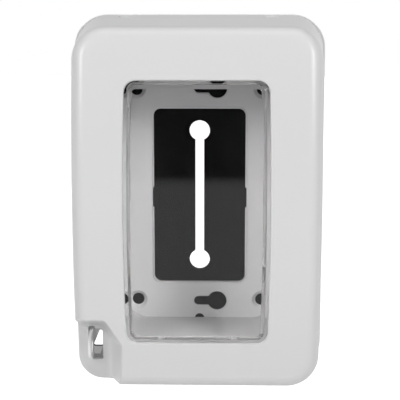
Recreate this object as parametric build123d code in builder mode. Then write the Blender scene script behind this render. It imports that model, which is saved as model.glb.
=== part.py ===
from build123d import *
from math import asin, atan2, cos, pi, radians, sin, sqrt, tan
import os

# A weatherproof cover that shuts over a wall socket while a plug is in use.
# A shallow base screws to the wall over a foam gasket. A deep hooded lid hangs on
# two hinge pins along its top edge and carries a clear bevelled window. A staple
# stands through the lower left corner of the lid for a padlock.
# Millimetres. +X is right and +Z is up as seen from the room, +Y goes into the wall.
# The origin is the middle of the socket opening, on the face of the wall.
# Depth means the distance out from the wall, towards the room.

os.makedirs("parts", exist_ok=True)

# Lid
lid_back_depth = 8.6
lid_half_width = 77.6
lid_half_height = 113.9
lid_back_corner = 20.5
lid_front_corner = 19.0
padlock_corner = 15.5
side_draft = 4.4
end_draft = 7.2
side_bow = 1.1
lid_front_depth = 76.7
crown_radius = 515.0
lid_edge_radius = 9.0
lid_wall = 2.6
lid_rib_thickness = 1.6
lid_rib_height = 7.0
lid_rib_spacing = 36.0
lid_rib_count = 4
loft_overrun = 12.0
crown_overrun = 10.0
crown_touch = 0.05

# Window opening, lens and lens seal
window_side_frame = 34.9
window_end_frame = 36.4
window_z = -0.9
window_corner = 7.0
window_bow = 0.95
window_edge_round = 0.8
lens_clearance = 0.3
lens_proud = 0.8
lens_wall = 2.2
lens_bevel_width = 4.4
lens_bevel_depth = 1.9
lens_flange_width = 5.4
lens_flange_thickness = 2.2
lens_seal_thickness = 1.2
lens_seal_margin = 0.8
lens_pocket_gap = 0.4
lens_to_rib = 4.4

# Screws that hold the lens
screw_radius = 1.25
screw_bore_gap = 0.01
screw_length = 5.2
screw_head_radius = 4.0
screw_head_height = 1.7
screw_slot_width = 0.9
screw_slot_length = 5.0
screw_boss_radius = 2.6
screw_boss_gap = 0.3
screw_seat_gap = 0.05
screw_tip_gap = 0.2
side_screw_z = 36.0
end_screw_x = 22.0
root_overlap = 0.5

# Gasket and base plate
gasket_thickness = 3.0
gasket_inset = 1.5
plate_thickness = 2.5
plate_margin = 0.4
plate_corner = 20.5
lip_width = 2.6
seam_gap = 0.4

# Socket opening in the base and the cut in the gasket
socket_half_width = 29.1
socket_half_height = 55.8
socket_corner = 4.5
socket_side_relief = 0.8
socket_relief_corner = 0.7
socket_relief_half_height = 6.6
socket_relief_z = -0.9
socket_bead_width = 1.2
socket_bead_height = 0.7
socket_bead_taper = 40.0
gasket_eye_radius = 6.5
gasket_eye_spacing = 83.3
gasket_slot_width = 5.6

# Surround that stands round the plugs, and its slots for the cords
surround_side_margin = 5.3
surround_end_margin = 2.0
surround_corner = 15.0
surround_wall = 2.2
surround_lens_gap = 2.6
surround_post_radius = 3.4
surround_post_offset = 4.6
surround_post_drop = 19.5
surround_post_height = 14.0
cord_slot_width = 11.0
cord_slot_floor = 30.0
cord_slot_rise = 33.5

# Fixing holes in the base plate, measured from the inside of the surround
corner_hole_radius = 3.8
corner_hole_side = 8.2
corner_hole_end = 11.6
countersink_radius = 6.0
countersink_angle = 90.0
keyhole_end = 10.8
keyhole_bevel = 0.7
keyhole_eye_x = 11.2
keyhole_eye_radius = 6.2
keyhole_slot_end_x = -0.6
keyhole_slot_half_width = 3.0
drain_hole_radius = 3.1
drain_hole_end = 0.6

# Screws that hold the surround to the plate, put in from behind
post_screw_radius = 1.25
post_screw_length = 9.0
post_screw_head_radius = 2.8
post_screw_head_height = 1.4
post_screw_gap = 0.2
post_head_gap = 0.1

# Rain lip of the base, inside the skirt of the lid
upstand_gap = 1.6
upstand_side_gap = 4.0
upstand_wall = 2.0
upstand_corner = 14.0
upstand_depth = 17.0
upstand_top_drop = 29.9
upstand_pocket_side = 12.7
upstand_pocket_end = 9.1

# Padlock corner: the pocket in the lid, its floor and the slot in the floor
pocket_window_gap = 1.6
pocket_rise = 49.0
pocket_slant_x = 10.2
pocket_slant_z = 15.2
pocket_round = 4.5
pocket_floor_round = 5.5
pocket_edge_round = 1.4
pocket_draft = 17.6
pocket_mouth_depth = 71.0
pocket_overrun = 25.0
shelf_depth = 41.0
shelf_slot_side_gap = 1.0
shelf_slot_width = 9.1
shelf_slot_top_gap = 2.6
shelf_slot_bottom_gap = 0.8
shelf_slot_corner = 1.6
shelf_window_drop = 1.8

# Staple for the padlock: a head shaped like a D on a shank, with a foot behind the plate
staple_side = 11.5
staple_rise = 26.2
staple_thickness = 2.0
staple_half_height = 9.1
staple_head_reach = 12.4
staple_head_round = 0.6
staple_head_back = 3.0
staple_eye_radius = 3.9
staple_eye_reach = 5.8
staple_shank_height = 10.0
staple_foot_reach = 3.6
staple_foot_thickness = 1.3
staple_fit = 0.15
staple_foot_gap = 0.1
staple_foot_overlap = 2.4
shackle_hole_left = 3.7
shackle_hole_right = 2.7
shackle_hole_height = 11.6
shackle_hole_corner = 1.2
shackle_rest_height = 4.0
shackle_rest_depth = 20.0

# Hinge
hinge_depth = 14.0
hinge_drop = 6.2
hinge_inset = 32.6
hinge_pin_radius = 1.5
hinge_pin_end_gap = 0.3
hinge_pin_chamfer = 0.3
hinge_running_gap = 0.06
hinge_press_gap = 0.01
lug_width = 8.0
lug_radius = 2.8
lug_side_gap = 0.4
lug_swing_gap = 1.0
knuckle_width = 6.0
knuckle_radius = 3.2

# Cord seals at the bottom edge
cord_exit_x = 24.0
cord_seal_width = 13.0
cord_seal_gap = 0.3
cord_seal_depth = 20.5
cord_seal_groove = 1.6
cord_seal_inner = 2.6
cord_seal_outer_inset = 0.5
cord_seal_fit = 0.1
cord_hole_radius = 3.5
cord_slit_width = 0.6

# Sizes and places that follow from those above
plate_half_width = lid_half_width + plate_margin
plate_half_height = lid_half_height + plate_margin
window_half_width = lid_half_width - window_side_frame
window_half_height = lid_half_height - window_end_frame
surround_half_width = window_half_width + surround_side_margin
surround_half_height = window_half_height + surround_end_margin
surround_post_x = surround_half_width + surround_post_offset
surround_post_z = surround_half_height - surround_post_drop
cord_slot_z = cord_slot_rise - surround_half_height
corner_hole_x = surround_half_width - corner_hole_side
corner_hole_z = surround_half_height - corner_hole_end
keyhole_z = surround_half_height - keyhole_end
drain_hole_z = -surround_half_height - drain_hole_end
pocket_edge_x = -window_half_width - pocket_window_gap
pocket_edge_z = pocket_rise - lid_half_height
upstand_top_z = lid_half_height - upstand_top_drop
upstand_break_x = pocket_edge_x - upstand_pocket_side
upstand_break_z = pocket_edge_z - upstand_pocket_end
lens_back = lid_wall + lens_seal_thickness + lens_flange_thickness
hinge_z = lid_half_height - hinge_drop
hinge_x = lid_half_width - hinge_inset
lid_rib_start_x = window_half_width + lens_flange_width + lens_to_rib
plate_front = gasket_thickness + plate_thickness
lip_front = lid_back_depth - seam_gap
far_depth = lid_front_depth + loft_overrun
staple_x = staple_side - lid_half_width
staple_z = staple_rise - lid_half_height
staple_back = gasket_thickness + staple_foot_gap
staple_top = staple_z + staple_half_height
staple_shank_bottom = staple_top - staple_shank_height
staple_foot_x = staple_x - 0.5 * staple_foot_reach
shackle_hole_x = staple_x + 0.5 * (shackle_hole_right - shackle_hole_left)
shackle_hole_width = shackle_hole_left + shackle_hole_right
shackle_hole_top = staple_shank_bottom - staple_fit
shackle_hole_z = shackle_hole_top - 0.5 * shackle_hole_height
shelf_slot_left = staple_x - 0.5 * staple_thickness - shelf_slot_side_gap
shelf_slot_top = staple_z + staple_half_height + shelf_slot_top_gap
shelf_slot_bottom = staple_z - staple_half_height - shelf_slot_bottom_gap
upstand_half_width = lid_half_width - lid_wall - upstand_side_gap
upstand_half_height = lid_half_height - lid_wall - upstand_gap
cord_hole_depth = cord_seal_depth - 0.5 * cord_seal_width
knuckle_offset = 0.5 * (lug_width + knuckle_width) + lug_side_gap
hinge_pin_length = lug_width + 2 * (lug_side_gap + knuckle_width - hinge_pin_end_gap)


def facing(depth):
    """Plane at this depth, drawn as seen from the room."""
    return Plane.XZ.offset(depth)


def round_corners(outline, corner, lower_left):
    """Rounds the four corners of a sketch, the lower left one to a radius of its own."""
    fillet(outline.vertices().sort_by(lambda v: v.X + v.Y)[1:], corner)
    fillet(outline.vertices().sort_by(lambda v: v.X + v.Y)[0], lower_left)


def bowed_outline(half_width, half_height, corner, bow, lower_left=None):
    """Rounded rectangle whose two long sides swell outwards in the middle."""
    edge = half_width - bow
    with BuildSketch() as outline:
        with BuildLine():
            ThreePointArc((-edge, -half_height), (-half_width, 0), (-edge, half_height))
            Line((-edge, half_height), (edge, half_height))
            ThreePointArc((edge, half_height), (half_width, 0), (edge, -half_height))
            Line((edge, -half_height), (-edge, -half_height))
        make_face()
        round_corners(outline, corner, lower_left or corner)
    return outline.sketch


def crown_depth(z, below=0.0):
    """Depth of the crowned front, or of a face this far below it, at a height."""
    return lid_front_depth - crown_radius + sqrt((crown_radius - below) ** 2 - z**2)


def behind_crown(below):
    """Everything behind the crowned front, or behind a face this far below it."""
    reach = lid_half_height + crown_overrun
    with BuildPart() as block:
        with BuildSketch(Plane.YZ):
            with BuildLine():
                Polyline(
                    (-crown_depth(reach, below), reach),
                    (reach, reach),
                    (reach, -reach),
                    (-crown_depth(reach, below), -reach),
                )
                ThreePointArc(
                    (-crown_depth(reach, below), -reach),
                    (-crown_depth(0, below), 0),
                    (-crown_depth(reach, below), reach),
                )
            make_face()
        extrude(amount=lid_half_width + crown_overrun, both=True)
    return block.part


def crowned_slab(outline, below, thickness, centre_z=0.0):
    """A plate of this outline that follows the crown, from one depth below it."""
    front = behind_crown(below)
    back = behind_crown(below + thickness)
    with BuildPart() as slab:
        with BuildSketch(facing(0)):
            with Locations((0, centre_z)):
                add(outline)
        extrude(amount=far_depth)
        add(front, mode=Mode.INTERSECT)
        add(back, mode=Mode.SUBTRACT)
    return slab.part


def on_crown(edge):
    """Whether an edge lies on the crowned front."""
    spots = [edge.position_at(0.25 * step) for step in range(5)]
    return all(abs(crown_depth(spot.Z) + spot.Y) < crown_touch for spot in spots)


def lid_outline(depth, inset):
    """Outline of the hood at a depth, or this far inside its outer face."""
    run = depth - lid_back_depth
    share = run / (far_depth - lid_back_depth)
    corner = lid_back_corner + (lid_front_corner - lid_back_corner) * share
    return bowed_outline(
        lid_half_width - run * tan(radians(side_draft)) - inset,
        lid_half_height - run * tan(radians(end_draft)) - inset,
        corner - inset,
        side_bow,
        padlock_corner - inset,
    )


def hood(inset):
    """The solid hood, or its hollow when inset by the wall."""
    start = lid_back_depth - inset
    back = lid_outline(start, inset)
    front = lid_outline(far_depth, inset)
    crown = behind_crown(inset)
    with BuildPart() as form:
        with BuildSketch(facing(start)):
            add(back)
        with BuildSketch(facing(far_depth)):
            add(front)
        loft(ruled=True)
        add(crown, mode=Mode.INTERSECT)
        fillet(form.faces().sort_by(Axis.Y)[0].edges(), lid_edge_radius - inset)
    return form.part


def pocket_outline(depth, grow):
    """Outline of the padlock pocket at a depth, or of one grown by a wall."""
    widen = (depth - pocket_mouth_depth) * tan(radians(pocket_draft)) + grow
    lean = atan2(pocket_slant_x, pocket_slant_z)
    side_corner = pocket_edge_z - pocket_slant_z + widen * tan(0.5 * lean)
    top_corner = pocket_edge_x - pocket_slant_x + widen * tan(0.5 * (0.5 * pi - lean))
    left = -lid_half_width - pocket_overrun
    bottom = -lid_half_height - pocket_overrun
    with BuildSketch() as outline:
        with BuildLine():
            Polyline(
                (left, bottom),
                (pocket_edge_x + widen, bottom),
                (pocket_edge_x + widen, side_corner),
                (top_corner, pocket_edge_z + widen),
                (left, pocket_edge_z + widen),
                close=True,
            )
        make_face()
        inner = [v for v in outline.vertices() if v.X > left + grow and v.Y > bottom + grow]
        fillet(inner, pocket_round + grow)
    return outline.sketch


def padlock_pocket(grow):
    """The tapered pocket at the lower left corner, or one grown by a wall."""
    floor = pocket_outline(shelf_depth - grow, grow)
    mouth = pocket_outline(far_depth, grow)
    with BuildPart() as pocket:
        with BuildSketch(facing(shelf_depth - grow)):
            add(floor)
        with BuildSketch(facing(far_depth)):
            add(mouth)
        loft(ruled=True)
        edges = pocket.faces().sort_by(Axis.Y)[-1].edges()
        inner = edges.filter_by(lambda e: e.center().X > -lid_half_width - 0.6 * pocket_overrun)
        fillet(inner, pocket_floor_round)
    return pocket.part


def window_outline(grow):
    """The window opening, or an outline this far outside it."""
    return bowed_outline(
        window_half_width + grow, window_half_height + grow, window_corner + grow, window_bow
    )


def lens_dome(inset):
    """The raised middle of the lens, or its hollow when inset by the lens wall."""
    outline = window_outline(-lens_clearance - inset)
    slab = crowned_slab(outline, inset - lens_proud, lens_back + lens_proud, window_z)
    with BuildPart() as dome:
        add(slab)
        face = dome.faces().sort_by(Axis.Y)[0]
        chamfer(face.edges(), lens_bevel_width - inset, lens_bevel_depth, reference=face)
    return dome.part


def plate_outline(inset):
    """Outline of the base plate, or this far inside it."""
    with BuildSketch() as outline:
        Rectangle(2 * (plate_half_width - inset), 2 * (plate_half_height - inset))
        round_corners(outline, plate_corner - inset, padlock_corner - inset)
    return outline.sketch


# Foam gasket between the base and the wall
gasket_edge = plate_outline(gasket_inset)
with BuildPart() as wall_gasket:
    with BuildSketch(facing(0)):
        add(gasket_edge)
        Rectangle(gasket_slot_width, gasket_eye_spacing, mode=Mode.SUBTRACT)
        with GridLocations(0, gasket_eye_spacing, 1, 2):
            Circle(gasket_eye_radius, mode=Mode.SUBTRACT)
        with Locations((shackle_hole_x, shackle_hole_z)):
            RectangleRounded(
                shackle_hole_width, shackle_hole_height, shackle_hole_corner, mode=Mode.SUBTRACT
            )
    extrude(amount=gasket_thickness)


def edge_ring(half_width, half_height, corner, wall):
    """Sketch of a rounded rectangular ring, wall wide, in the active sketch."""
    RectangleRounded(2 * half_width, 2 * half_height, corner)
    RectangleRounded(
        2 * (half_width - wall), 2 * (half_height - wall), corner - wall, mode=Mode.SUBTRACT
    )


def cut_above(z):
    """Takes everything above this height out of the active sketch."""
    with Locations((0, z)):
        Rectangle(
            4 * plate_half_width,
            2 * plate_half_height,
            align=(Align.CENTER, Align.MIN),
            mode=Mode.SUBTRACT,
        )


def cord_exit_outline(grow, start):
    """Round-ended outline of a cord exit seen from above, from a depth outwards."""
    half = 0.5 * cord_seal_width + grow
    with BuildSketch() as outline:
        with Locations((0, -cord_hole_depth)):
            Circle(half)
        with Locations((0, -start)):
            Rectangle(2 * half, cord_hole_depth - start, align=(Align.CENTER, Align.MAX))
            Rectangle(
                2 * half, cord_seal_width, align=(Align.CENTER, Align.MIN), mode=Mode.SUBTRACT
            )
    return outline.sketch


def keyhole_outline(grow):
    """A round eye and the slot beside it, or the same this far wider all round."""
    with BuildSketch() as outline:
        with Locations((keyhole_eye_x, 0)):
            Circle(keyhole_eye_radius + grow)
            Rectangle(
                keyhole_eye_x - keyhole_slot_end_x,
                2 * (keyhole_slot_half_width + grow),
                align=(Align.MAX, Align.CENTER),
            )
        with Locations((keyhole_slot_end_x, 0)):
            Circle(keyhole_slot_half_width + grow)
    return outline.sketch


def staple_shank(grow):
    """The straight shank of the staple, through the plate, or one grown by a fit."""
    with BuildPart() as shank:
        with BuildSketch(facing(staple_back)):
            with Locations((staple_x, staple_top + grow)):
                Rectangle(
                    staple_thickness + 2 * grow,
                    staple_shank_height + 2 * grow,
                    align=(Align.CENTER, Align.MAX),
                )
        extrude(amount=shelf_depth - staple_back)
    return shank.part


# Base plate with its edge lip, rain lip, socket opening, fixing holes and hinge lugs
keyhole = keyhole_outline(0)
keyhole_rim = keyhole_outline(keyhole_bevel)
plate_edge = plate_outline(0)
lip_inner_edge = plate_outline(lip_width)
staple_hole = staple_shank(staple_fit)
cord_saddle = 0.5 * cord_seal_width - cord_seal_groove
with BuildPart() as base:
    with BuildSketch(facing(gasket_thickness)):
        add(plate_edge)
    extrude(amount=plate_thickness)
    with BuildSketch(facing(plate_front)):
        add(plate_edge)
        add(lip_inner_edge, mode=Mode.SUBTRACT)
        cut_above(hinge_z)
    extrude(amount=lip_front - plate_front)
    with BuildSketch(facing(plate_front)):
        edge_ring(upstand_half_width, upstand_half_height, upstand_corner, upstand_wall)
        cut_above(upstand_top_z)
        with Locations((upstand_break_x, upstand_break_z)):
            Rectangle(
                plate_half_width,
                plate_half_height,
                align=(Align.MAX, Align.MAX),
                mode=Mode.SUBTRACT,
            )
    extrude(amount=upstand_depth - plate_front)
    # Saddles in the rain lip that the cord seals push into
    for side in (-1, 1):
        with BuildSketch(facing(upstand_depth)):
            with Locations((side * cord_exit_x, -upstand_half_height + 0.5 * upstand_wall)):
                Rectangle(2 * cord_saddle, 2 * upstand_wall)
        extrude(amount=-(upstand_depth - cord_hole_depth), mode=Mode.SUBTRACT)
        with BuildSketch(Plane.XY.offset(-upstand_half_height - 0.5 * upstand_wall)):
            with Locations((side * cord_exit_x, -cord_hole_depth)):
                Circle(cord_saddle)
        extrude(amount=2 * upstand_wall, mode=Mode.SUBTRACT)
    with BuildSketch(facing(plate_front)):
        RectangleRounded(
            2 * (socket_half_width + socket_bead_width),
            2 * (socket_half_height + socket_bead_width),
            socket_corner + socket_bead_width,
        )
    extrude(amount=socket_bead_height, taper=socket_bead_taper)
    for side in (-1, 1):
        with BuildSketch(Plane.YZ.offset(side * hinge_x)):
            with Locations((-plate_front, hinge_z)):
                Rectangle(
                    hinge_depth - plate_front, 2 * lug_radius, align=(Align.MAX, Align.CENTER)
                )
            with Locations((-hinge_depth, hinge_z)):
                Circle(lug_radius)
                Circle(hinge_pin_radius + hinge_running_gap, mode=Mode.SUBTRACT)
        extrude(amount=0.5 * lug_width, both=True)
    # Rest under the padlock opening
    with BuildSketch(facing(plate_front)):
        with Locations((shackle_hole_x, shackle_hole_top - shackle_hole_height)):
            Rectangle(
                shackle_hole_width, shackle_rest_height, align=(Align.CENTER, Align.MAX)
            )
    extrude(amount=shackle_rest_depth - plate_front)
    # Socket opening, keyholes, drain hole, padlock opening and post screw holes
    with BuildSketch(facing(0)):
        RectangleRounded(2 * socket_half_width, 2 * socket_half_height, socket_corner)
        with Locations((0, socket_relief_z)):
            RectangleRounded(
                2 * (socket_half_width + socket_side_relief),
                2 * socket_relief_half_height,
                socket_relief_corner,
            )
        with Locations((0, keyhole_z), (0, -keyhole_z)):
            add(keyhole)
        with Locations((0, drain_hole_z)):
            Circle(drain_hole_radius)
        with Locations((shackle_hole_x, shackle_hole_z)):
            RectangleRounded(shackle_hole_width, shackle_hole_height, shackle_hole_corner)
        with GridLocations(2 * surround_post_x, 2 * surround_post_z, 2, 2):
            Circle(post_screw_radius + post_screw_gap)
    extrude(amount=upstand_depth, mode=Mode.SUBTRACT)
    with Locations(facing(plate_front)):
        with GridLocations(2 * corner_hole_x, 2 * corner_hole_z, 2, 2):
            CounterSinkHole(
                corner_hole_radius, countersink_radius, counter_sink_angle=countersink_angle
            )
    with BuildSketch(facing(plate_front)):
        with Locations((0, keyhole_z), (0, -keyhole_z)):
            add(keyhole_rim)
    extrude(amount=-keyhole_bevel, taper=45, mode=Mode.SUBTRACT)
    # Slot for the staple, with pockets for its foot and for the heads of the post screws
    add(staple_hole, mode=Mode.SUBTRACT)
    with BuildSketch(facing(gasket_thickness)):
        with Locations((staple_foot_x, staple_shank_bottom - staple_fit)):
            Rectangle(
                staple_thickness + staple_foot_reach + 2 * staple_fit,
                staple_shank_height + staple_foot_overlap + 2 * staple_fit,
                align=(Align.CENTER, Align.MIN),
            )
    extrude(amount=staple_foot_thickness + staple_foot_gap, mode=Mode.SUBTRACT)
    with BuildSketch(facing(gasket_thickness)):
        with GridLocations(2 * surround_post_x, 2 * surround_post_z, 2, 2):
            Circle(post_screw_head_radius + post_screw_gap)
    extrude(amount=post_screw_head_height + post_head_gap, mode=Mode.SUBTRACT)

# Staple for the padlock, pushed through the plate from behind
shank = staple_shank(0)
with BuildPart() as padlock_staple:
    with BuildSketch(Plane.YZ.offset(staple_x)) as head_outline:
        with Locations((-shelf_depth, staple_z)):
            Ellipse(staple_head_reach, staple_half_height)
            Rectangle(
                staple_head_reach,
                2 * staple_half_height,
                align=(Align.MIN, Align.CENTER),
                mode=Mode.SUBTRACT,
            )
            Rectangle(
                staple_head_back, 2 * staple_half_height, align=(Align.MIN, Align.CENTER)
            )
    extrude(amount=0.5 * staple_thickness, both=True)
    fillet(padlock_staple.edges().filter_by(GeomType.ELLIPSE), staple_head_round)
    add(shank)
    with BuildSketch(Plane.YZ.offset(staple_x)):
        with Locations((-shelf_depth - staple_eye_reach, staple_z)):
            Circle(staple_eye_radius)
    extrude(amount=staple_thickness, both=True, mode=Mode.SUBTRACT)
    with BuildSketch(facing(staple_back)):
        with Locations((staple_foot_x, staple_shank_bottom)):
            Rectangle(
                staple_thickness + staple_foot_reach,
                staple_shank_height + staple_foot_overlap,
                align=(Align.CENTER, Align.MIN),
            )
    extrude(amount=staple_foot_thickness)

# Surround for the plugs, close behind the lens, with a slot for a cord in each side wall
surround_limit = behind_crown(lens_back + surround_lens_gap)
with BuildPart() as plug_surround:
    with BuildSketch(facing(plate_front)):
        edge_ring(
            surround_half_width + surround_wall,
            surround_half_height + surround_wall,
            surround_corner + surround_wall,
            surround_wall,
        )
    extrude(amount=lid_front_depth - plate_front)
    add(surround_limit, mode=Mode.INTERSECT)
    with BuildSketch(facing(plate_front)):
        with GridLocations(2 * surround_post_x, 2 * surround_post_z, 2, 2):
            Circle(surround_post_radius)
    extrude(amount=surround_post_height)
    with BuildSketch(facing(plate_front)):
        with GridLocations(2 * surround_post_x, 2 * surround_post_z, 2, 2):
            Circle(post_screw_radius + screw_bore_gap)
    extrude(amount=post_screw_length, mode=Mode.SUBTRACT)
    with BuildSketch(Plane.YZ):
        with Locations((-cord_slot_floor, cord_slot_z)):
            Circle(0.5 * cord_slot_width)
            Rectangle(
                lid_front_depth - cord_slot_floor,
                cord_slot_width,
                align=(Align.MAX, Align.CENTER),
            )
    extrude(amount=surround_half_width + 2 * surround_wall, both=True, mode=Mode.SUBTRACT)

# Four screws through the plate into the posts of the surround
with BuildPart() as surround_screws:
    with BuildSketch(facing(gasket_thickness + post_head_gap)):
        with GridLocations(2 * surround_post_x, 2 * surround_post_z, 2, 2):
            Circle(post_screw_head_radius)
    extrude(amount=post_screw_head_height)
    with BuildSketch(facing(gasket_thickness + post_head_gap)):
        with GridLocations(2 * surround_post_x, 2 * surround_post_z, 2, 2):
            Circle(post_screw_radius)
    extrude(amount=post_screw_length)


def cord_seal(side):
    """Rubber seal that fills a cord exit, with a slit to let the cord in."""
    outer_bottom = -lid_half_height + cord_seal_outer_inset
    outer_top = -upstand_half_height - cord_seal_fit
    inner_bottom = -upstand_half_height + upstand_wall + cord_seal_fit
    outer = cord_exit_outline(0, lip_front + cord_seal_fit)
    inner = cord_exit_outline(0, plate_front + cord_seal_fit)
    with BuildSketch() as core_outline:
        with Locations((0, -cord_hole_depth)):
            Circle(cord_saddle - cord_seal_fit)
    core = core_outline.sketch
    with BuildPart() as seal:
        for bottom, top, outline in (
            (outer_bottom, outer_top, outer),
            (outer_top, inner_bottom, core),
            (inner_bottom, inner_bottom + cord_seal_inner, inner),
        ):
            with BuildSketch(Plane.XY.offset(bottom)):
                with Locations((side * cord_exit_x, 0)):
                    add(outline)
            extrude(amount=top - bottom)
        with BuildSketch(Plane.XY.offset(outer_bottom)):
            with Locations((side * cord_exit_x, -cord_hole_depth)):
                Circle(cord_hole_radius)
                Rectangle(cord_slit_width, cord_seal_width, align=(Align.CENTER, Align.MAX))
        extrude(amount=lid_half_height, mode=Mode.SUBTRACT)
    return seal


cord_seal_left = cord_seal(-1)
cord_seal_right = cord_seal(1)

# Lens screws sit half in the rim of the lens, two on each long side and each end
side_screw_x = window_half_width + lens_flange_width
end_screw_z = window_half_height + lens_flange_width
screw_places = [
    (x, window_z + z) for x in (-side_screw_x, side_screw_x) for z in (-side_screw_z, side_screw_z)
]
screw_places += [
    (x, window_z + z) for x in (-end_screw_x, end_screw_x) for z in (-end_screw_z, end_screw_z)
]


def screw_plane(x, z):
    """Plane on top of a screw boss, facing back into the hood."""
    lean = asin(z / (crown_radius - lens_back))
    return Plane(
        origin=(x, -crown_depth(z, lens_back), z), x_dir=(1, 0, 0), z_dir=(0, cos(lean), -sin(lean))
    )


def screw_circles(radius):
    """Outline of a circle of this radius at every lens screw."""
    with BuildSketch() as circles:
        with Locations(*screw_places):
            Circle(radius)
    return circles.sketch


# Lid: hood, window opening, padlock corner, screw bosses, ribs and hinge knuckles
hood_outer = hood(0)
hood_hollow = hood(lid_wall)
pocket = padlock_pocket(0)
pocket_walls = padlock_pocket(lid_wall)
window = window_outline(0)
with BuildPart() as lid_form:
    add(hood_outer)
    add(pocket, mode=Mode.SUBTRACT)
    mouth = lid_form.edges().filter_by(on_crown)
    mouth = mouth.filter_by(lambda e: e.center().X < pocket_edge_x)
    mouth = mouth.filter_by(lambda e: e.center().Z < pocket_edge_z + pocket_edge_round)
    fillet(mouth, pocket_edge_round)
boss_slab = crowned_slab(
    screw_circles(screw_boss_radius),
    lid_wall - root_overlap,
    lens_seal_thickness + lens_flange_thickness + root_overlap,
)
with BuildPart() as lid_ribs:
    with BuildSketch(facing(0)):
        with GridLocations(2 * lid_rib_start_x + lid_half_width, lid_rib_spacing, 2, lid_rib_count):
            Rectangle(lid_half_width, lid_rib_thickness)
    extrude(amount=far_depth)
    add(behind_crown(lid_wall + lid_rib_height), mode=Mode.SUBTRACT)
    add(hood(0.5 * lid_wall), mode=Mode.INTERSECT)
exit_cut = cord_exit_outline(cord_seal_gap, 0)
with BuildPart() as lid:
    add(hood_outer)
    add(hood_hollow, mode=Mode.SUBTRACT)
    add(lid_ribs.part)
    add(pocket_walls)
    add(boss_slab)
    add(lid_form.part, mode=Mode.INTERSECT)
    with BuildSketch(facing(shelf_depth)):
        with Locations((0, window_z)):
            add(window)
    extrude(amount=far_depth, mode=Mode.SUBTRACT)
    rim = lid.edges().filter_by(on_crown)
    rim = rim.filter_by(lambda e: abs(e.center().X) < window_half_width + crown_touch)
    rim = rim.filter_by(lambda e: abs(e.center().Z - window_z) < window_half_height + crown_touch)
    fillet(rim, window_edge_round)
    for x, z in screw_places:
        with BuildSketch(screw_plane(x, z)):
            Circle(screw_radius + screw_bore_gap)
        extrude(amount=-(screw_length + screw_tip_gap), mode=Mode.SUBTRACT)
    for side in (-1, 1):
        for hand in (-1, 1):
            with BuildSketch(Plane.YZ.offset(side * hinge_x + hand * knuckle_offset)):
                with Locations((-hinge_depth, hinge_z)):
                    Circle(knuckle_radius)
                    Rectangle(
                        2 * knuckle_radius,
                        lid_half_height - lid_wall - hinge_z + root_overlap,
                        align=(Align.CENTER, Align.MIN),
                    )
                    Circle(hinge_pin_radius + hinge_press_gap, mode=Mode.SUBTRACT)
            extrude(amount=0.5 * knuckle_width, both=True)
        # Notch in the top edge that lets the lid swing past the lug
        with BuildSketch(facing(0)):
            with Locations((side * hinge_x, hinge_z)):
                Rectangle(
                    lug_width + 2 * lug_side_gap,
                    lid_half_height - hinge_z + lid_wall,
                    align=(Align.CENTER, Align.MIN),
                )
        extrude(amount=hinge_depth + lug_radius + lug_swing_gap, mode=Mode.SUBTRACT)
        with BuildSketch(Plane.XY.offset(-lid_half_height - lid_wall)):
            with Locations((side * cord_exit_x, 0)):
                add(exit_cut)
        extrude(amount=3 * lid_wall, mode=Mode.SUBTRACT)
    # Slot in the floor of the padlock corner: narrow for the staple, wide for the shackle
    with BuildSketch(facing(shelf_depth)):
        with Locations((shelf_slot_left, shelf_slot_bottom)):
            RectangleRounded(
                staple_thickness + 2 * shelf_slot_side_gap,
                shelf_slot_top - shelf_slot_bottom,
                shelf_slot_corner,
                align=(Align.MIN, Align.MIN),
            )
            RectangleRounded(
                shelf_slot_width,
                shelf_slot_top - shelf_window_drop - shelf_slot_bottom,
                shelf_slot_corner,
                align=(Align.MIN, Align.MIN),
            )
    extrude(amount=2 * lid_wall, both=True, mode=Mode.SUBTRACT)

# Clear lens: a domed middle that fills the window, and a rim behind the lid
flange_clip = padlock_pocket(lid_wall + lens_pocket_gap)
lens_rim = crowned_slab(
    window_outline(lens_flange_width),
    lid_wall + lens_seal_thickness,
    lens_flange_thickness,
    window_z,
)
boss_clear = screw_circles(screw_boss_radius + screw_boss_gap)
dome = lens_dome(0)
dome_hollow = lens_dome(lens_wall)
with BuildPart() as lens:
    add(lens_rim)
    add(dome)
    add(dome_hollow, mode=Mode.SUBTRACT)
    add(flange_clip, mode=Mode.SUBTRACT)
    with BuildSketch(facing(shelf_depth)):
        add(boss_clear)
    extrude(amount=far_depth, mode=Mode.SUBTRACT)

# Soft seal between the rim of the lens and the lid
seal_outline = window_outline(lens_flange_width)
seal_hole = window_outline(lens_seal_margin)
seal_slab = crowned_slab(seal_outline, lid_wall, lens_seal_thickness, window_z)
with BuildPart() as lens_seal:
    add(seal_slab)
    add(flange_clip, mode=Mode.SUBTRACT)
    with BuildSketch(facing(shelf_depth)):
        with Locations((0, window_z)):
            add(seal_hole)
        add(boss_clear)
    extrude(amount=far_depth, mode=Mode.SUBTRACT)

# Pan head screws whose heads hold down the rim of the lens
with BuildPart() as lens_screws:
    for x, z in screw_places:
        with BuildSketch(screw_plane(x, z).offset(screw_seat_gap)):
            Circle(screw_head_radius)
        extrude(amount=screw_head_height)
        with BuildSketch(screw_plane(x, z).offset(screw_seat_gap)):
            Circle(screw_radius)
        extrude(amount=-screw_length)
    for x, z in screw_places:
        with BuildSketch(screw_plane(x, z).offset(screw_seat_gap + screw_head_height)):
            Rectangle(screw_slot_width, screw_slot_length)
            Rectangle(screw_slot_length, screw_slot_width)
        extrude(amount=-0.5 * screw_head_height, mode=Mode.SUBTRACT)

# Two short pins carry the lid on the lugs of the base
with BuildPart() as hinge_pins:
    for side in (-1, 1):
        with BuildSketch(Plane.YZ.offset(side * hinge_x)):
            with Locations((-hinge_depth, hinge_z)):
                Circle(hinge_pin_radius)
        extrude(amount=0.5 * hinge_pin_length, both=True)
    chamfer(hinge_pins.edges(), hinge_pin_chamfer)

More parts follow.
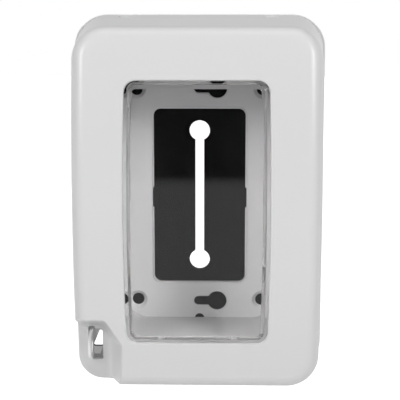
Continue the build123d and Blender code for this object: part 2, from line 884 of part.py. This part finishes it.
pieces = {
    "wall_gasket": wall_gasket,
    "base": base,
    "plug_surround": plug_surround,
    "surround_screws": surround_screws,
    "padlock_staple": padlock_staple,
    "cord_seal_left": cord_seal_left,
    "cord_seal_right": cord_seal_right,
    "lid": lid,
    "lens": lens,
    "lens_seal": lens_seal,
    "lens_screws": lens_screws,
    "hinge_pins": hinge_pins,
}
for name, piece in pieces.items():
    piece.part.label = name
    export_step(piece.part, f"parts/{name}.step")
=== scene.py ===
from math import radians

import bpy
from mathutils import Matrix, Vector

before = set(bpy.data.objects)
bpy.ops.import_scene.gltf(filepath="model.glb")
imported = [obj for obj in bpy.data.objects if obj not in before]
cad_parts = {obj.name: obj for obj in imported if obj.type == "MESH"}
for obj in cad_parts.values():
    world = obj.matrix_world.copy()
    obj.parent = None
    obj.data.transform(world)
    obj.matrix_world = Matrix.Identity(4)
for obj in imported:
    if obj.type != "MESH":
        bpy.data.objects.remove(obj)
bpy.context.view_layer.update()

# A weatherproof socket cover: white hood, clear bevelled window, pale base and black foam gasket.
# Every piece keeps its CAD shape. This script gives each piece its finish, and makes the floor,
# the lamps, the world and the camera. Metres, +X right, +Z up, +Y into the wall.

# The share of the lamps' light that one surface of a piece lets through
lens_lamp_share = 0.96
lid_lamp_share = 0.25
staple_lamp_share = 0.8
base_lamp_share = 0.2
surround_lamp_share = 0.8

# Floor. Its glow is what it adds for the camera, so that it is white far from the lamps and
# still keeps the cover's shadow near it. Distances are from the middle of the cover.
floor_height = -0.40
floor_half_size = 10.0
floor_roughness = 0.8
floor_level = 0.9
glow_distances = (0.4, 1.0)
glow_levels = (0.42, 1.0)

# The floor in reflections: white near the cover, dim far off in the room, white behind the cover
mirrored_floor_distances = (4.2, 9.0)
mirrored_floor_levels = (1.0, 0.03)
mirrored_floor_behind = (-0.4, 0.4)

# World: light on the cover, backdrop for the camera, and the dim room that reflections show.
# The backdrop is behind the cover (direction Y) and ends above it (direction Z).
world_light = 0.24
backdrop_level = 1.0
room_level = 0.02
backdrop_behind = (-0.1, 0.3)
backdrop_above = (0.22, 0.58)

# Lamps: place, width and height, power in watts. All point at the origin.
side_lamp_size = (0.3, 0.5)
lamps = {
    "left_lamp": ((-1.02, -1.15, 0.62), side_lamp_size, 8.95),
    "right_lamp": ((1.02, -1.15, 0.62), side_lamp_size, 9.65),
    "top_lamp": ((0, -0.45, 1.45), (1.4, 0.3), 4.6),
}

# Camera
camera_sensor_mm = 36.0
camera_lens_mm = 99.06
camera_place = (0.0184, -0.7001, 0.1090)
camera_down_angle = 9.128
camera_left_angle = 1.499

# Light Path counts whole bounces, so this is between none and one
between_bounces = 0.5


def grey(level):
    """A grey as a colour with full alpha."""
    return (level, level, level, 1)


# Node helpers

def new_group(name, inputs, outputs):
    """A shader node group with the named inputs, each with its value, and the named outputs."""
    group = bpy.data.node_groups.new(name, "ShaderNodeTree")
    for label, kind, value in inputs:
        socket = group.interface.new_socket(label, in_out="INPUT", socket_type=kind)
        socket.default_value = value
    for label, kind in outputs:
        group.interface.new_socket(label, in_out="OUTPUT", socket_type=kind)
    start = group.nodes.new("NodeGroupInput")
    end = group.nodes.new("NodeGroupOutput")
    return group, start, end


def add_node(tree, kind, **values):
    """A node of this kind, with its properties and plain inputs set by name."""
    node = tree.nodes.new(kind)
    for name, value in values.items():
        if hasattr(node, name):
            setattr(node, name, value)
        else:
            node.inputs[name.replace("_", " ")].default_value = value
    return node


def feed(tree, socket, value):
    """Links another socket to this one, or sets this one's own value."""
    if isinstance(value, bpy.types.NodeSocket):
        tree.links.new(value, socket)
    else:
        socket.default_value = value


def mix_colour(tree, factor, first, second, blend="MIX"):
    """A colour mix; each of the three may be a socket or a plain value."""
    node = add_node(tree, "ShaderNodeMix", data_type="RGBA", blend_type=blend)
    for index, value in ((0, factor), (6, first), (7, second)):
        feed(tree, node.inputs[index], value)
    return node.outputs[2]


def do_math(tree, operation, *values):
    """A math node whose inputs may be sockets or plain values."""
    node = add_node(tree, "ShaderNodeMath", operation=operation)
    for socket, value in zip(node.inputs, values):
        feed(tree, socket, value)
    return node.outputs[0]


def smooth_ramp(tree, value, span, levels):
    """Goes smoothly from the first level to the second over this span of a value."""
    node = add_node(tree, "ShaderNodeMapRange", interpolation_type="SMOOTHSTEP")
    labels = ("Value", "From Min", "From Max", "To Min", "To Max")
    for label, given in zip(labels, (value, *span, *levels)):
        feed(tree, node.inputs[label], given)
    return node.outputs["Result"]


def mix_shaders(tree, factor, first, second):
    """The first shader where the factor is zero and the second where it is one."""
    node = tree.nodes.new("ShaderNodeMixShader")
    for socket, value in zip(node.inputs, (factor, first, second)):
        feed(tree, socket, value)
    return node.outputs[0]


# Node groups shared by the materials

finish_outputs = [
    ("Colour", "NodeSocketColor"),
    ("Roughness", "NodeSocketFloat"),
    ("Height", "NodeSocketFloat"),
]


def moulded_surface_group():
    """Spark-eroded mould grain with faint cloudiness and slow waves in the wall."""
    cloud_scale, wave_scale = 14.0, 38.0
    noise_middle = 0.5
    dark_cloud = grey(0.9)
    cloud_contrast, cloud_cover = 10.0, 0.25
    wave_height = 3.0
    group, start, end = new_group(
        "moulded_surface",
        [
            ("Colour", "NodeSocketColor", grey(0.8)),
            ("Cloud", "NodeSocketFloat", 0.03),
            ("Grain Size", "NodeSocketFloat", 900.0),
            ("Roughness", "NodeSocketFloat", 0.4),
            ("Roughness Spread", "NodeSocketFloat", 0.08),
        ],
        finish_outputs,
    )
    link = group.links.new
    place = add_node(group, "ShaderNodeTexCoord")
    clouds = add_node(group, "ShaderNodeTexNoise", Scale=cloud_scale, Detail=3.0, Roughness=0.55)
    grain = add_node(group, "ShaderNodeTexNoise", Detail=2.0, Roughness=0.6)
    waves = add_node(group, "ShaderNodeTexNoise", Scale=wave_scale, Detail=1.0)
    for texture in (clouds, grain, waves):
        link(place.outputs["Object"], texture.inputs["Vector"])
    link(start.outputs["Grain Size"], grain.inputs["Scale"])
    centred = do_math(group, "SUBTRACT", clouds.outputs["Fac"], noise_middle)
    cloud = do_math(group, "MULTIPLY", centred, start.outputs["Cloud"])
    darker = mix_colour(group, 1.0, start.outputs["Colour"], dark_cloud, "MULTIPLY")
    share = do_math(group, "ADD", do_math(group, "MULTIPLY", cloud, cloud_contrast), cloud_cover)
    link(mix_colour(group, share, start.outputs["Colour"], darker), end.inputs["Colour"])
    spread = do_math(group, "MULTIPLY", centred, start.outputs["Roughness Spread"])
    link(do_math(group, "ADD", start.outputs["Roughness"], spread), end.inputs["Roughness"])
    ripple = do_math(group, "MULTIPLY", waves.outputs["Fac"], wave_height)
    link(do_math(group, "ADD", grain.outputs["Fac"], ripple), end.inputs["Height"])
    return group


def clouded_group(name, inputs, clouds, tint, shine):
    """A group whose colour and roughness drift with clouds; its height is still to be linked."""
    group, start, end = new_group(name, inputs, finish_outputs)
    link = group.links.new
    place = add_node(group, "ShaderNodeTexCoord")
    slow = add_node(group, "ShaderNodeTexNoise", **clouds)
    link(place.outputs["Object"], slow.inputs["Vector"])
    tinted = mix_colour(group, 1.0, start.outputs["Colour"], tint, "MULTIPLY")
    colour = mix_colour(group, slow.outputs["Fac"], start.outputs["Colour"], tinted)
    link(colour, end.inputs["Colour"])
    uneven = do_math(group, "MULTIPLY", slow.outputs["Fac"], shine)
    link(do_math(group, "ADD", start.outputs["Roughness"], uneven), end.inputs["Roughness"])
    return group, start, end, place


def foam_surface_group():
    """Closed foam or soft rubber: small cells in a soft skin, with uneven shine."""
    group, start, end, place = clouded_group(
        "foam_surface",
        [
            ("Colour", "NodeSocketColor", grey(0.02)),
            ("Cell Size", "NodeSocketFloat", 1400.0),
            ("Roughness", "NodeSocketFloat", 0.7),
        ],
        clouds={"Scale": 60.0, "Detail": 4.0},
        tint=grey(1.7),
        shine=0.25,
    )
    cells = add_node(group, "ShaderNodeTexVoronoi", feature="F1")
    group.links.new(place.outputs["Object"], cells.inputs["Vector"])
    group.links.new(start.outputs["Cell Size"], cells.inputs["Scale"])
    group.links.new(cells.outputs["Distance"], end.inputs["Height"])
    return group


def turned_metal_group():
    """Zinc plated steel: fine tool marks under cloudy, slightly warm plating."""
    group, start, end, place = clouded_group(
        "turned_metal",
        [
            ("Colour", "NodeSocketColor", grey(0.6)),
            ("Line Scale", "NodeSocketFloat", 1500.0),
            ("Roughness", "NodeSocketFloat", 0.3),
        ],
        clouds={"Scale": 220.0, "Detail": 3.0},
        tint=(1.12, 1.06, 0.92, 1),
        shine=0.2,
    )
    lines = add_node(group, "ShaderNodeTexNoise", Detail=2.0)
    group.links.new(place.outputs["Object"], lines.inputs["Vector"])
    group.links.new(start.outputs["Line Scale"], lines.inputs["Scale"])
    group.links.new(lines.outputs["Fac"], end.inputs["Height"])
    return group


moulded_surface = moulded_surface_group()
foam_surface = foam_surface_group()
turned_metal = turned_metal_group()


# Materials

def surface_material(name, group, bump, bump_distance, shine, **group_values):
    """A Principled material whose colour, roughness and height come from a group."""
    material = bpy.data.materials.new(name)
    material.use_nodes = True
    tree = material.node_tree
    shader = tree.nodes["Principled BSDF"]
    for label, value in shine.items():
        shader.inputs[label].default_value = value
    finish = tree.nodes.new("ShaderNodeGroup")
    finish.node_tree = group
    for label, value in group_values.items():
        finish.inputs[label.replace("_", " ")].default_value = value
    height = add_node(tree, "ShaderNodeBump", Strength=bump, Distance=bump_distance)
    tree.links.new(finish.outputs["Colour"], shader.inputs["Base Color"])
    tree.links.new(finish.outputs["Roughness"], shader.inputs["Roughness"])
    tree.links.new(finish.outputs["Height"], height.inputs["Height"])
    tree.links.new(height.outputs["Normal"], shader.inputs["Normal"])
    return material


def let_lamps_through(material, share):
    """Lets this share of the lamps' light through a surface, as thin or clear plastic does."""
    tree = material.node_tree
    path = tree.nodes.new("ShaderNodeLightPath")
    clear = add_node(tree, "ShaderNodeBsdfTransparent", Color=grey(share))
    plastic = tree.nodes["Principled BSDF"].outputs[0]
    surface = mix_shaders(tree, path.outputs["Is Shadow Ray"], plastic, clear.outputs[0])
    tree.links.new(surface, tree.nodes["Material Output"].inputs["Surface"])


def clear_lens_material():
    """Clear polycarbonate with a very faint ripple. It refracts weakly, so its bevel is plain."""
    material = bpy.data.materials.new("clear_lens")
    material.use_nodes = True
    tree = material.node_tree
    shader = tree.nodes["Principled BSDF"]
    shader.inputs["Base Color"].default_value = (0.98, 0.972, 0.976, 1)
    shader.inputs["Transmission Weight"].default_value = 1.0
    shader.inputs["IOR"].default_value = 1.3
    shader.inputs["Specular IOR Level"].default_value = 1.0
    shader.inputs["Roughness"].default_value = 0.0
    place = add_node(tree, "ShaderNodeTexCoord")
    ripple = add_node(tree, "ShaderNodeTexNoise", Scale=22.0, Detail=1.0)
    height = add_node(tree, "ShaderNodeBump", Strength=0.001, Distance=0.001)
    tree.links.new(place.outputs["Object"], ripple.inputs["Vector"])
    tree.links.new(ripple.outputs["Fac"], height.inputs["Height"])
    tree.links.new(height.outputs["Normal"], shader.inputs["Normal"])
    let_lamps_through(material, lens_lamp_share)
    return material


plastic_shine = {"Specular IOR Level": 0.5, "IOR": 1.5}
foam_shine = {"Specular IOR Level": 0.15}
rubber_shine = {"Specular IOR Level": 0.4}

white_plastic = surface_material(
    "white_plastic",
    moulded_surface,
    bump=0.12,
    bump_distance=0.0002,
    shine=plastic_shine,
    Colour=grey(0.77),
    Cloud=0.03,
    Grain_Size=1100.0,
    Roughness=0.34,
    Roughness_Spread=0.06,
)
# A lighter, glossier copy of the lid's white plastic. This is painted light: it makes the staple
# show bright inside the shaded padlock pocket.
painted_bright_staple_plastic = surface_material(
    "painted_bright_staple_plastic",
    moulded_surface,
    bump=0.1,
    bump_distance=0.0002,
    shine=plastic_shine,
    Colour=grey(0.95),
    Cloud=0.02,
    Grain_Size=1100.0,
    Roughness=0.24,
    Roughness_Spread=0.06,
)
pale_plastic = surface_material(
    "pale_plastic",
    moulded_surface,
    bump=0.08,
    bump_distance=0.0002,
    shine=plastic_shine,
    Colour=grey(0.79),
    Cloud=0.04,
    Grain_Size=1300.0,
    Roughness=0.2,
    Roughness_Spread=0.05,
)
# A darker copy of the base's pale plastic. This is painted shade: it darkens the surround's bottom
# wall and, by bouncing less light, the middle of the plate.
painted_shade_surround_plastic = surface_material(
    "painted_shade_surround_plastic",
    moulded_surface,
    bump=0.05,
    bump_distance=0.0002,
    shine=plastic_shine,
    Colour=grey(0.57),
    Cloud=0.04,
    Grain_Size=1300.0,
    Roughness=0.16,
    Roughness_Spread=0.05,
)
black_foam = surface_material(
    "black_foam",
    foam_surface,
    bump=0.35,
    bump_distance=0.0003,
    shine=foam_shine,
    Colour=grey(0.003),
    Cell_Size=1500.0,
    Roughness=0.62,
)
grey_rubber = surface_material(
    "grey_rubber",
    foam_surface,
    bump=0.15,
    bump_distance=0.0002,
    shine=rubber_shine,
    Colour=grey(0.16),
    Cell_Size=2600.0,
    Roughness=0.55,
)
# This pale grey is painted light. The seal faces away from the lamps and gets almost no light, so
# its raised grey stands in for that light.
painted_light_seal_rubber = surface_material(
    "painted_light_seal_rubber",
    foam_surface,
    bump=0.1,
    bump_distance=0.0002,
    shine=rubber_shine,
    Colour=grey(0.7),
    Cell_Size=2600.0,
    Roughness=0.5,
)
zinc_steel = surface_material(
    "zinc_steel",
    turned_metal,
    bump=0.1,
    bump_distance=0.0001,
    shine={"Metallic": 1.0},
    Colour=grey(0.6),
    Line_Scale=2500.0,
    Roughness=0.28,
)
clear_lens = clear_lens_material()
let_lamps_through(white_plastic, lid_lamp_share)
let_lamps_through(painted_bright_staple_plastic, staple_lamp_share)
let_lamps_through(pale_plastic, base_lamp_share)
let_lamps_through(painted_shade_surround_plastic, surround_lamp_share)

finishes = {
    "wall_gasket": black_foam,
    "base": pale_plastic,
    "plug_surround": painted_shade_surround_plastic,
    "surround_screws": zinc_steel,
    "padlock_staple": painted_bright_staple_plastic,
    "cord_seal_left": grey_rubber,
    "cord_seal_right": grey_rubber,
    "lid": white_plastic,
    "lens": clear_lens,
    "lens_seal": painted_light_seal_rubber,
    "lens_screws": zinc_steel,
    "hinge_pins": zinc_steel,
}
for name, material in finishes.items():
    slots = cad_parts[name].data.materials
    slots.clear()
    slots.append(material)


# Floor, lamps, world and camera

def seen_directly(tree):
    """One for what the camera sees, straight or through the lens, and zero in reflections."""
    path = tree.nodes.new("ShaderNodeLightPath").outputs
    through = do_math(tree, "MAXIMUM", path["Is Camera Ray"], path["Is Transmission Ray"])
    bounces = do_math(tree, "ADD", path["Glossy Depth"], path["Diffuse Depth"])
    unbounced = do_math(tree, "LESS_THAN", bounces, between_bounces)
    return do_math(tree, "MULTIPLY", through, unbounced)


def seen_in_reflection(tree):
    """One for what a glossy surface mirrors, and zero for all else."""
    path = tree.nodes.new("ShaderNodeLightPath").outputs
    return do_math(tree, "GREATER_THAN", path["Glossy Depth"], between_bounces)


def make_floor_material():
    """Pale and matt, white to the camera, with its own look in reflections and none from below."""
    material = bpy.data.materials.new("pale_floor")
    material.use_nodes = True
    tree = material.node_tree
    shader = tree.nodes["Principled BSDF"]
    shader.inputs["Base Color"].default_value = grey(floor_level)
    shader.inputs["Roughness"].default_value = floor_roughness
    shader.inputs["Emission Color"].default_value = grey(1)
    place = add_node(tree, "ShaderNodeTexCoord")
    distance = add_node(tree, "ShaderNodeVectorMath", operation="LENGTH")
    tree.links.new(place.outputs["Object"], distance.inputs[0])
    glow = smooth_ramp(tree, distance.outputs["Value"], glow_distances, glow_levels)
    lifted = do_math(tree, "MULTIPLY", seen_directly(tree), glow)
    tree.links.new(lifted, shader.inputs["Emission Strength"])

    parts = add_node(tree, "ShaderNodeSeparateXYZ")
    tree.links.new(place.outputs["Object"], parts.inputs[0])
    in_front = smooth_ramp(
        tree, distance.outputs["Value"], mirrored_floor_distances, mirrored_floor_levels
    )
    level = smooth_ramp(
        tree, parts.outputs["Y"], mirrored_floor_behind, (in_front, backdrop_level)
    )
    mirrored = add_node(tree, "ShaderNodeEmission", Color=grey(1))
    tree.links.new(level, mirrored.inputs["Strength"])
    upper_side = mix_shaders(
        tree, seen_in_reflection(tree), shader.outputs[0], mirrored.outputs[0]
    )

    side = tree.nodes.new("ShaderNodeNewGeometry")
    clear = add_node(tree, "ShaderNodeBsdfTransparent")
    surface = mix_shaders(tree, side.outputs["Backfacing"], upper_side, clear.outputs[0])
    tree.links.new(surface, tree.nodes["Material Output"].inputs["Surface"])
    return material


def make_floor():
    """A plain square well below the cover."""
    reach = floor_half_size
    corners = [(-reach, -reach), (reach, -reach), (reach, reach), (-reach, reach)]
    mesh = bpy.data.meshes.new("floor")
    mesh.from_pydata([(x, y, floor_height) for x, y in corners], [], [(0, 1, 2, 3)])
    mesh.materials.append(make_floor_material())
    floor = bpy.data.objects.new("floor", mesh)
    bpy.context.scene.collection.objects.link(floor)


def add_lamp(name, place, size, power):
    """A soft oblong lamp that points at the origin."""
    data = bpy.data.lights.new(name, "AREA")
    data.shape = "RECTANGLE"
    data.size, data.size_y = size
    data.energy = power
    lamp = bpy.data.objects.new(name, data)
    lamp.location = place
    lamp.rotation_euler = (-Vector(place)).to_track_quat("-Z", "Y").to_euler()
    bpy.context.scene.collection.objects.link(lamp)


def make_world():
    """Even light for the cover, a white backdrop for the camera and a dim room in reflections."""
    world = bpy.data.worlds.new("studio")
    bpy.context.scene.world = world
    world.use_nodes = True
    tree = world.node_tree
    even = tree.nodes["Background"]
    even.inputs["Color"].default_value = grey(1)
    even.inputs["Strength"].default_value = world_light
    shown = add_node(tree, "ShaderNodeBackground", Color=grey(1), Strength=backdrop_level)
    mirrored = add_node(tree, "ShaderNodeBackground", Color=grey(1))
    place = add_node(tree, "ShaderNodeTexCoord")
    parts = add_node(tree, "ShaderNodeSeparateXYZ")
    tree.links.new(place.outputs["Generated"], parts.inputs[0])
    height_level = smooth_ramp(
        tree, parts.outputs["Z"], backdrop_above, (backdrop_level, room_level)
    )
    level = smooth_ramp(tree, parts.outputs["Y"], backdrop_behind, (room_level, height_level))
    tree.links.new(level, mirrored.inputs["Strength"])
    unseen = mix_shaders(tree, seen_in_reflection(tree), even.outputs[0], mirrored.outputs[0])
    surface = mix_shaders(tree, seen_directly(tree), unseen, shown.outputs[0])
    tree.links.new(surface, tree.nodes["World Output"].inputs["Surface"])


def make_camera():
    """The camera at the place and angle that the photograph's outline gives."""
    data = bpy.data.cameras.new("camera")
    data.sensor_width = camera_sensor_mm
    data.lens = camera_lens_mm
    camera = bpy.data.objects.new("camera", data)
    camera.location = camera_place
    camera.rotation_euler = (radians(90 - camera_down_angle), 0, radians(camera_left_angle))
    bpy.context.scene.collection.objects.link(camera)
    bpy.context.scene.camera = camera


make_floor()
for name, (place, size, power) in lamps.items():
    add_lamp(name, place, size, power)
make_world()
make_camera()
bpy.context.scene.view_settings.view_transform = "Standard"
